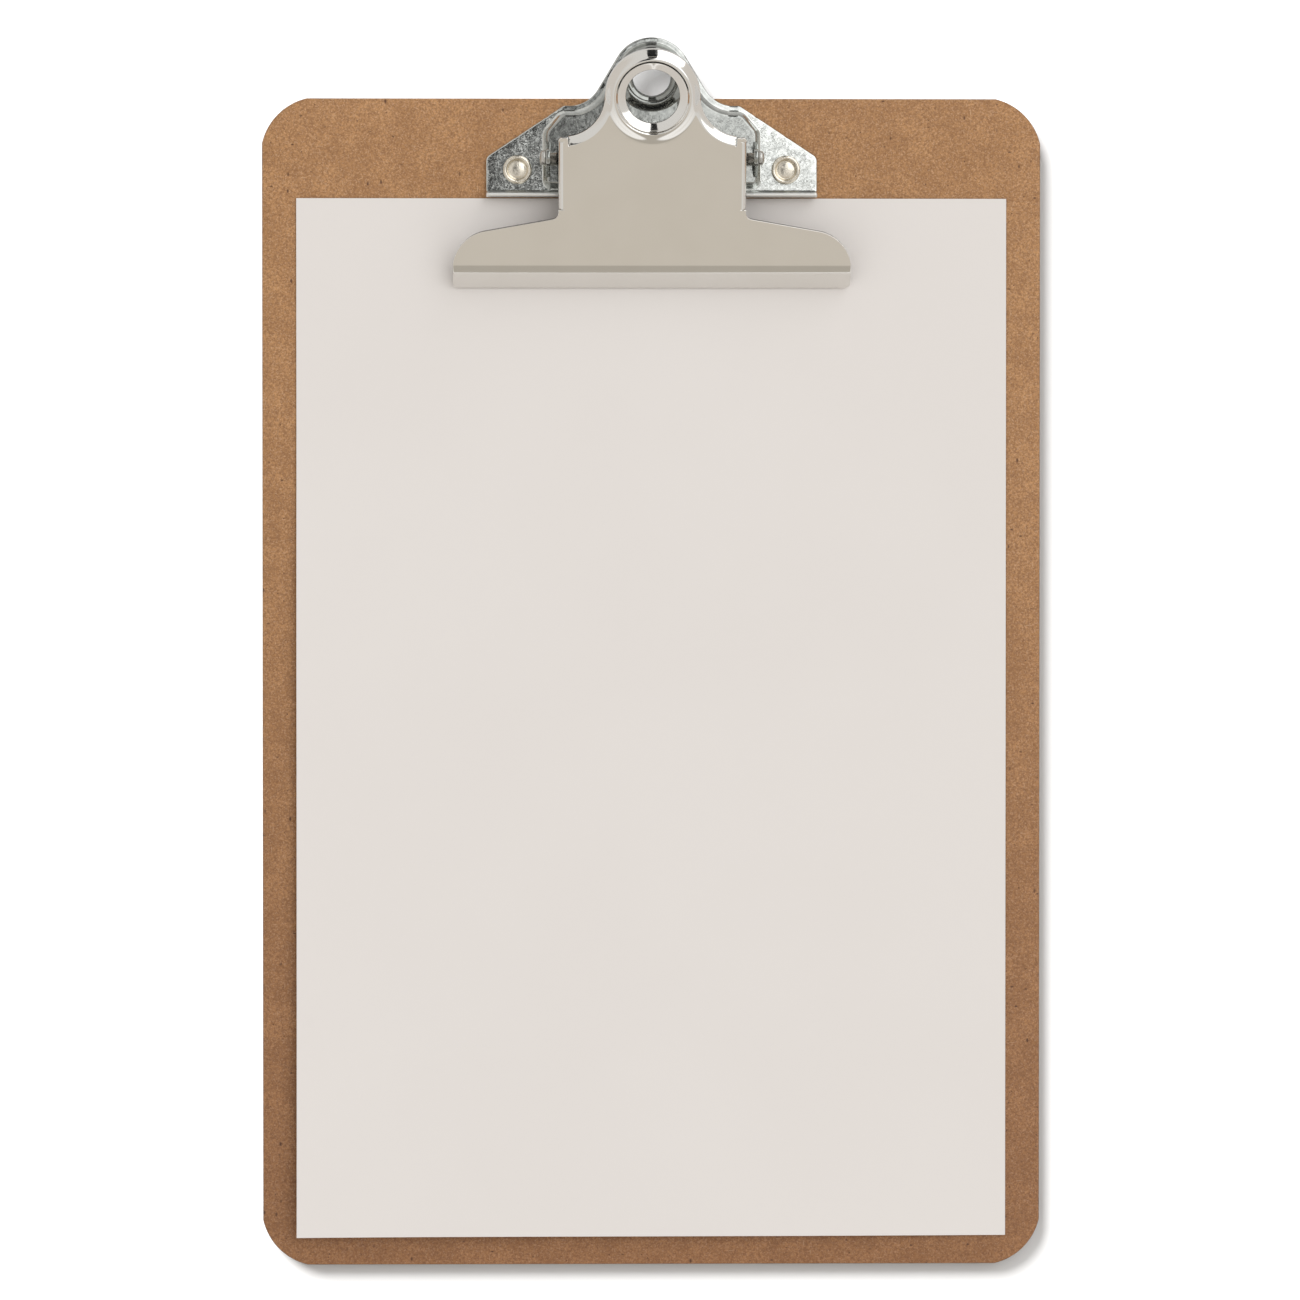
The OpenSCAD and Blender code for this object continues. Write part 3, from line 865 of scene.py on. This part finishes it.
class Shader(Nodes):
    """One material, its patterns laid out in the object's own millimetres."""

    def __init__(self, name, **values):
        self.material = bpy.data.materials.new(name)
        self.material.use_nodes = True
        super().__init__(self.material.node_tree)
        self.surface = self.tree.nodes["Principled BSDF"]
        self.wear(**values)
        self.mm = self.vector("SCALE", self.add("ShaderNodeTexCoord").outputs["Object"], 1 / MM)

    def normal(self):
        return self.add("ShaderNodeNewGeometry").outputs["Normal"]

    def placed(self, size, stretch, turn=0.0):
        """Coordinates that grow by 1 over each size millimetres, times the stretch of each axis."""
        scale = [1 / (size * share) for share in stretch]
        inputs = {"Vector": self.mm, "Rotation": (0, 0, turn), "Scale": scale}
        return self.add("ShaderNodeMapping", inputs).outputs[0]

    def noise(self, size, detail=2.0, distortion=0.0, stretch=(1, 1, 1), roughness=0.5):
        """Noise whose features are about size millimetres across."""
        inputs = {"Vector": self.placed(size, stretch), "Scale": 1.0, "Detail": detail,
                  "Roughness": roughness, "Distortion": distortion}
        return self.add("ShaderNodeTexNoise", inputs).outputs["Fac"]

    def cells(self, size, stretch, turn, output):
        """One output of cells about size millimetres across, stretched and turned about Z."""
        where = self.placed(size, stretch, turn)
        return self.add("ShaderNodeTexVoronoi", {"Vector": where, "Scale": 1.0}).outputs[output]

    def spots(self, layers, core, reach, luck):
        """Scattered spots: each layer is (spacing, stretch, turn), and luck is the share left empty."""
        found = 0.0
        for size, stretch, turn in layers:
            near = self.cells(size, stretch, turn, "Distance")
            colour = self.cells(size, stretch, turn, "Color")
            pick = self.add("ShaderNodeSeparateColor", {"Color": colour}).outputs[0]
            shown = self.span(pick, luck, min(1, luck + 0.3))
            found = self.calc("MAXIMUM", self.times(self.span(near, core, reach, 1, 0), shown), found)
        return found

    def bump(self, height, depth, under=None):
        """Bump of that depth in millimetres, on top of the normal under it."""
        inputs = {"Height": height, "Distance": depth * MM, "Strength": 1.0}
        if under is not None:
            inputs["Normal"] = under
        return self.add("ShaderNodeBump", inputs).outputs[0]

    def wear(self, **inputs):
        """Links or sets the surface's inputs by name."""
        for name, value in inputs.items():
            self.put(self.surface.inputs[name.replace("_", " ")], value)
        return self.material


def hardboard():
    """Pressed wood fibre: a fine mottle, a few pale fibres, scattered dark specks, darker cut edges and
    painted shade towards the bottom.
    """
    s = Shader("pressed_fibre_board")
    colour = s.blend(s.span(s.noise(5, 4), 0.34, 0.66), (0.48, 0.248, 0.1), (0.6, 0.322, 0.136))
    mottle = s.span(s.noise(0.42, 4, 0.2, roughness=0.75), 0.3, 0.66, 0.0, 0.95)
    colour = s.blend(mottle, colour, (0.285, 0.136, 0.054))
    pale = s.span(s.noise(0.3, 3, 0.2), 0.5, 0.72, 0.0, 0.5)
    colour = s.blend(pale, colour, (0.7, 0.445, 0.26))
    fibres = s.spots(((5, (0.1, 0.8, 1), 0.15), (5, (0.9, 0.1, 1), 0.6), (6, (0.1, 0.7, 1), 1.0)),
                     core=0.08, reach=0.2, luck=0.9)
    colour = s.blend(s.times(fibres, 0.6), colour, (0.70, 0.46, 0.27))
    specks = s.spots(((1.5, (1, 1, 1), 0.3), (2.2, (1.5, 0.8, 1), 0.9), (3.4, (0.7, 1.3, 1), 0.4)),
                     core=0.05, reach=0.13, luck=0.5)
    colour = s.blend(s.times(specks, 0.9), colour, (0.11, 0.045, 0.02))
    # Painted shade: the board grows darker towards its bottom end.
    foot = s.span(s.axis(s.mm, 1), -1.15 * board_high[1], 0.8 * board_high[1], 1, 0)
    colour = s.blend(foot, colour, (0.7, 0.63, 0.62), "MULTIPLY")
    darkened_edge = s.span(s.axis(s.normal(), 2), 0.3, 0.985, 0.85, 0)
    colour = s.blend(darkened_edge, colour, (0.12, 0.07, 0.04))
    grain = s.calc("ADD", s.noise(0.35, 3), s.times(fibres, 0.4))
    return s.wear(Base_Color=colour, Normal=s.bump(grain, 0.04),
                  Roughness=s.span(s.noise(0.8, 3), 0.3, 0.7, 0.5, 0.72))


def nickel():
    """Bright plate, with the lip's cut edge darkened: painted shade."""
    s = Shader("bright_nickel", Metallic=1.0)
    tint = s.blend(s.span(s.noise(9, 2), 0.3, 0.7), (0.768, 0.755, 0.722), (0.784, 0.772, 0.742))
    # Painted shade: the cut edge that faces up the board, below the hinge, is darkened.
    below_hinge = s.span(s.axis(s.mm, 1), hinge_y - 12, hinge_y - 11, 1, 0)
    darkened_edge = s.times(s.span(s.axis(s.normal(), 1), 0.6, 0.9), below_hinge)
    tint = s.blend(darkened_edge, tint, (0.1, 0.09, 0.07))
    haze = s.span(s.noise(3.5, 4, 0.3), 0.3, 0.7, 0.07, 0.11)
    fine = s.noise(0.25, 2, 0, (0.5, 6, 1))
    return s.wear(Base_Color=tint, Roughness=haze, Normal=s.bump(fine, 0.0006))


def crystals(s):
    """Small flat crystals in two sizes: the way that each leans, and a number of its own from 0 to 1."""
    wobble = s.add("ShaderNodeTexNoise", {"Vector": s.mm, "Scale": 2.5, "Detail": 2.0}).outputs["Color"]
    shifted = s.vector("ADD", wobble, s.mm)
    lean = (0, 0, 0)
    for size, amount in ((0.36, 0.028), (0.2, 0.05)):
        where = s.vector("SCALE", shifted, 1 / size)
        cell = s.add("ShaderNodeTexVoronoi", {"Vector": where, "Scale": 1.0}).outputs["Color"]
        number = s.add("ShaderNodeSeparateColor", {"Color": cell}).outputs[2]
        strength = s.span(number, 0.35, 1.0, 0.1 * amount, amount)
        centred = s.vector("SUBTRACT", cell, (0.5, 0.5, 0.5))
        lean = s.vector("ADD", s.vector("SCALE", centred, strength), lean)
    return lean, number


def zinc():
    """Zinc plate: a fine spangle on its level parts, less on the pan, and a duller paper stop. Painted
    shade darkens the raised pan and the hanging ring, and a painted reflection lightens the paper stop.
    """
    s = Shader("spangled_zinc", Metallic=0.92)
    y, z = s.axis(s.mm, 1), s.axis(s.mm, 2)
    flat = s.normal()
    level_part = s.span(s.axis(flat, 2), 0.93, 0.995)
    below_ring = s.span(y, hinge_y + 7.5, hinge_y + 9, 1, 0)
    behind_stop = s.span(y, plate_low[1] + 1.2, plate_low[1] + 1.5)
    raised = s.span(z, board_top + SHEET + 0.3, board_top + SHEET + 1.1)
    on_stop = s.span(y, plate_low[1] + 0.9, plate_low[1] + 1.5, 1, 0)
    on_ring = s.span(y, hinge_y + 8, hinge_y + 12)
    patch = s.times(s.times(level_part, below_ring), behind_stop)
    patch = s.times(patch, s.span(s.noise(2.2, 3), 0.36, 0.64, 0.5, 1.0))
    patch = s.times(patch, s.span(raised, 0, 1, 1, 0.55))
    lean, number = crystals(s)
    normal = s.vector("NORMALIZE", s.vector("ADD", flat, s.vector("SCALE", lean, patch)))
    tint = s.blend(s.span(s.noise(1.3, 3), 0.35, 0.65), (0.53, 0.545, 0.525), (0.66, 0.675, 0.65))
    # Painted shade: the raised pan, under the lever, is darkened.
    tint = s.blend(s.times(raised, 0.75), tint, (0.5, 0.5, 0.49), "MULTIPLY")
    # Painted shade: the hanging ring is darkened.
    tint = s.blend(s.times(on_ring, 0.35), tint, (0.4, 0.41, 0.4), "MULTIPLY")
    # Painted reflection: the paper stop's colour is lightened.
    tint = s.blend(on_stop, tint, (0.8, 0.8, 0.78))
    dull = s.times(s.span(number, 0.45, 1.0, 0, 0.24), patch)
    rough = s.calc("MAXIMUM", s.calc("ADD", dull, 0.075), s.times(on_stop, 0.38))
    return s.wear(Base_Color=tint, Roughness=rough, Normal=s.bump(s.noise(1.6, 2), 0.006, normal))


def plain_steel(name, colour, rough, grain):
    """Drawn or turned steel with a light grain."""
    s = Shader(name, Metallic=1.0)
    low = tuple(0.82 * c for c in colour)
    tint = s.blend(s.span(s.noise(1.2, 3), 0.35, 0.65), low, colour)
    return s.wear(Base_Color=tint, Roughness=s.span(s.noise(0.6, 3), 0.3, 0.7, rough * 0.7, rough * 1.3),
                  Normal=s.bump(s.noise(0.22, 3), grain))


def paper_stock():
    s = Shader("plain_paper", Roughness=0.75)
    tint = s.blend(s.span(s.noise(45, 2), 0.35, 0.65), (0.812, 0.777, 0.752), (0.82, 0.786, 0.761))
    tooth = s.calc("ADD", s.noise(0.12, 3), s.noise(0.6, 2))
    return s.wear(Base_Color=tint, Normal=s.bump(tooth, 0.006))


# ---------- Pieces ----------

def finish_piece(piece, body, material, node):
    """Gives a piece its material and slot, sets it on its body if it has one, and hides its CAD node. A
    piece without a body is left unparented, and the caller bakes its place into its mesh.
    """
    piece.data.materials.append(material)
    if body:
        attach(piece, body)
    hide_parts(node)


SIDES = (("left", -1), ("right", 1))
pin_metal = plain_steel("drawn_steel", (0.55, 0.54, 0.51), 0.3, 0.02)
rivet_metal = plain_steel("set_rivet_steel", (0.80, 0.745, 0.64), 0.24, 0.01)
wire_metal = plain_steel("spring_wire", (0.42, 0.42, 0.42), 0.28, 0.008)
stock = paper_stock()

finish_piece(make_board(), "board", hardboard(), "board")
finish_piece(make_base_plate(), "board", zinc(), "base_plate")
finish_piece(make_lever(), "lever", nickel(), "lever")
finish_piece(make_pin(), "board", pin_metal, "pivot_pin")
for hand, side in SIDES:
    rivet = make_rivet("rivet_set_" + hand, side)
    finish_piece(rivet, "board", rivet_metal, "rivet_" + hand)
for hand, side in SIDES:
    coil = make_spring("spring_coil_" + hand, side)
    finish_piece(coil, None, wire_metal, "torsion_spring")
    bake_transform(coil)
for paper_number in range(PAPERS):
    finish_piece(make_paper(paper_number), "paper", stock, "paper")


# ---------- Studio ----------

AIM = Vector((-0.3, 6.35, board_top))
CAMERA_OFFSET = Vector((-19, 19, 1100))
LENS = 155.4
FLOOR_HALF = 6000.0
SUN_WAY = Vector((1.1, -1.5, -1))  # the way that its light travels
BOOM_SPREAD = 0.16  # how fast each side of the boom widens along its length
BOOM_LEFT = 0.17  # the left side's least reach
BOOM_RIGHT = 0.018  # how far the right side is drawn in


def make_camera():
    camera = bpy.data.objects.new("camera", bpy.data.cameras.new("camera"))
    camera.data.lens = LENS
    camera.data.sensor_width = 36
    camera.location = (AIM + CAMERA_OFFSET) * MM
    camera.rotation_mode = "QUATERNION"
    back = CAMERA_OFFSET.normalized()
    right = Vector((0, 1, 0)).cross(back).normalized()
    camera.rotation_quaternion = Matrix((right, back.cross(right), back)).transposed().to_quaternion()
    bpy.context.scene.collection.objects.link(camera)
    bpy.context.scene.camera = camera


def make_floor():
    """A pale floor that the clipboard lies on, darker where metal mirrors it: painted shade in the metal's
    reflections.
    """
    corners = [(x * FLOOR_HALF, y * FLOOR_HALF, 0) for x, y in ((-1, -1), (1, -1), (1, 1), (-1, 1))]
    floor = new_object("floor", corners, [(0, 1, 2, 3)])
    s = Shader("pale_floor", Roughness=0.9)
    tint = s.blend(s.span(s.noise(400, 2), 0.3, 0.7), (0.62, 0.62, 0.62), (0.64, 0.64, 0.64))
    # Painted shade: the floor is darker only as the metal mirrors it.
    mirrored_in_metal = s.add("ShaderNodeLightPath").outputs["Is Glossy Ray"]
    tint = s.blend(mirrored_in_metal, tint, (0.26, 0.255, 0.25))
    floor.data.materials.append(s.wear(Base_Color=tint))
    return floor


def make_floor_light(floor):
    """A broad light from the upper left that only the floor receives, for the soft shadow at the right."""
    data = bpy.data.lights.new("floor_light", "SUN")
    data.energy = 10
    data.angle = math.radians(46)
    light = bpy.data.objects.new("floor_light", data)
    bpy.context.scene.collection.objects.link(light)
    light.rotation_mode = "QUATERNION"
    light.rotation_quaternion = SUN_WAY.to_track_quat("-Z", "Y")
    lit = bpy.data.collections.new("floor_only")
    lit.objects.link(floor)
    light.light_linking.receiver_collection = lit


def studio_walls(s, across, along):
    """Pale walls, brighter in front, with a dull patch over a dark stand, and greyer out to the sides."""
    colour = s.blend(s.span(along, -2.0, -0.5, 1, 0), (0.80, 0.785, 0.765), (1.12, 1.1, 1.08))
    middle = s.band(across, -0.45, 0.45, 0.15)
    colour = s.blend(s.times(middle, s.band(along, -1.0, -0.3, 0.1)), colour, (0.686, 0.63, 0.556))
    colour = s.blend(s.times(middle, s.band(along, -30, -0.76, 0.1)), colour, (0.50, 0.462, 0.405))
    return s.blend(s.span(s.calc("ABSOLUTE", across), 1.0, 2.5), colour, (0.74, 0.695, 0.65))


def boom_and_box(s, across, along, colour):
    """A black boom with two pale gaps, and a large soft box on its right."""
    right = s.calc("ADD", s.times(along, BOOM_SPREAD), -BOOM_RIGHT)
    left = s.calc("MINIMUM", s.times(along, -BOOM_SPREAD), -BOOM_LEFT)
    boom = s.times(s.band(across, left, right, 0.006), s.band(along, -0.12, 14, 0.04))
    gaps = s.calc("ADD", s.band(along, 0.49, 0.61, 0.04), s.band(along, 1.36, 1.52, 0.05))
    colour = s.blend(boom, colour, s.blend(gaps, (0.02, 0.02, 0.02), (0.56, 0.54, 0.5)))
    far = s.calc("MAXIMUM", s.times(along, 1.4), 1.3)
    soft_box = s.times(s.band(across, right, far, 0.006), s.band(along, 0.081, 5, 0.004))
    return s.blend(soft_box, colour, (2.0, 2.0, 2.0))


def make_world():
    """The studio by direction: slopes from upright, across to the right and along the board's length.

    They count from the way that a level mirror sends the main camera's view, and are fixed in the world.
    """
    world = bpy.data.worlds.new("studio")
    world.use_nodes = True
    bpy.context.scene.world = world
    s = Nodes(world.node_tree)
    way = s.add("ShaderNodeTexCoord").outputs["Generated"]
    up = s.calc("MAXIMUM", s.axis(way, 2), 0.02)
    across = s.calc("ADD", s.calc("DIVIDE", s.axis(way, 0), up), CAMERA_OFFSET.x / CAMERA_OFFSET.z)
    along = s.calc("ADD", s.calc("DIVIDE", s.axis(way, 1), up), CAMERA_OFFSET.y / CAMERA_OFFSET.z)
    colour = boom_and_box(s, across, along, studio_walls(s, across, along))
    seen = s.add("ShaderNodeLightPath").outputs["Is Camera Ray"]
    colour = s.blend(seen, colour, (0.93, 0.93, 0.93))
    s.put(world.node_tree.nodes["Background"].inputs["Color"], colour)


bpy.context.scene.view_settings.view_transform = "Standard"
make_camera()
make_floor_light(make_floor())
make_world()
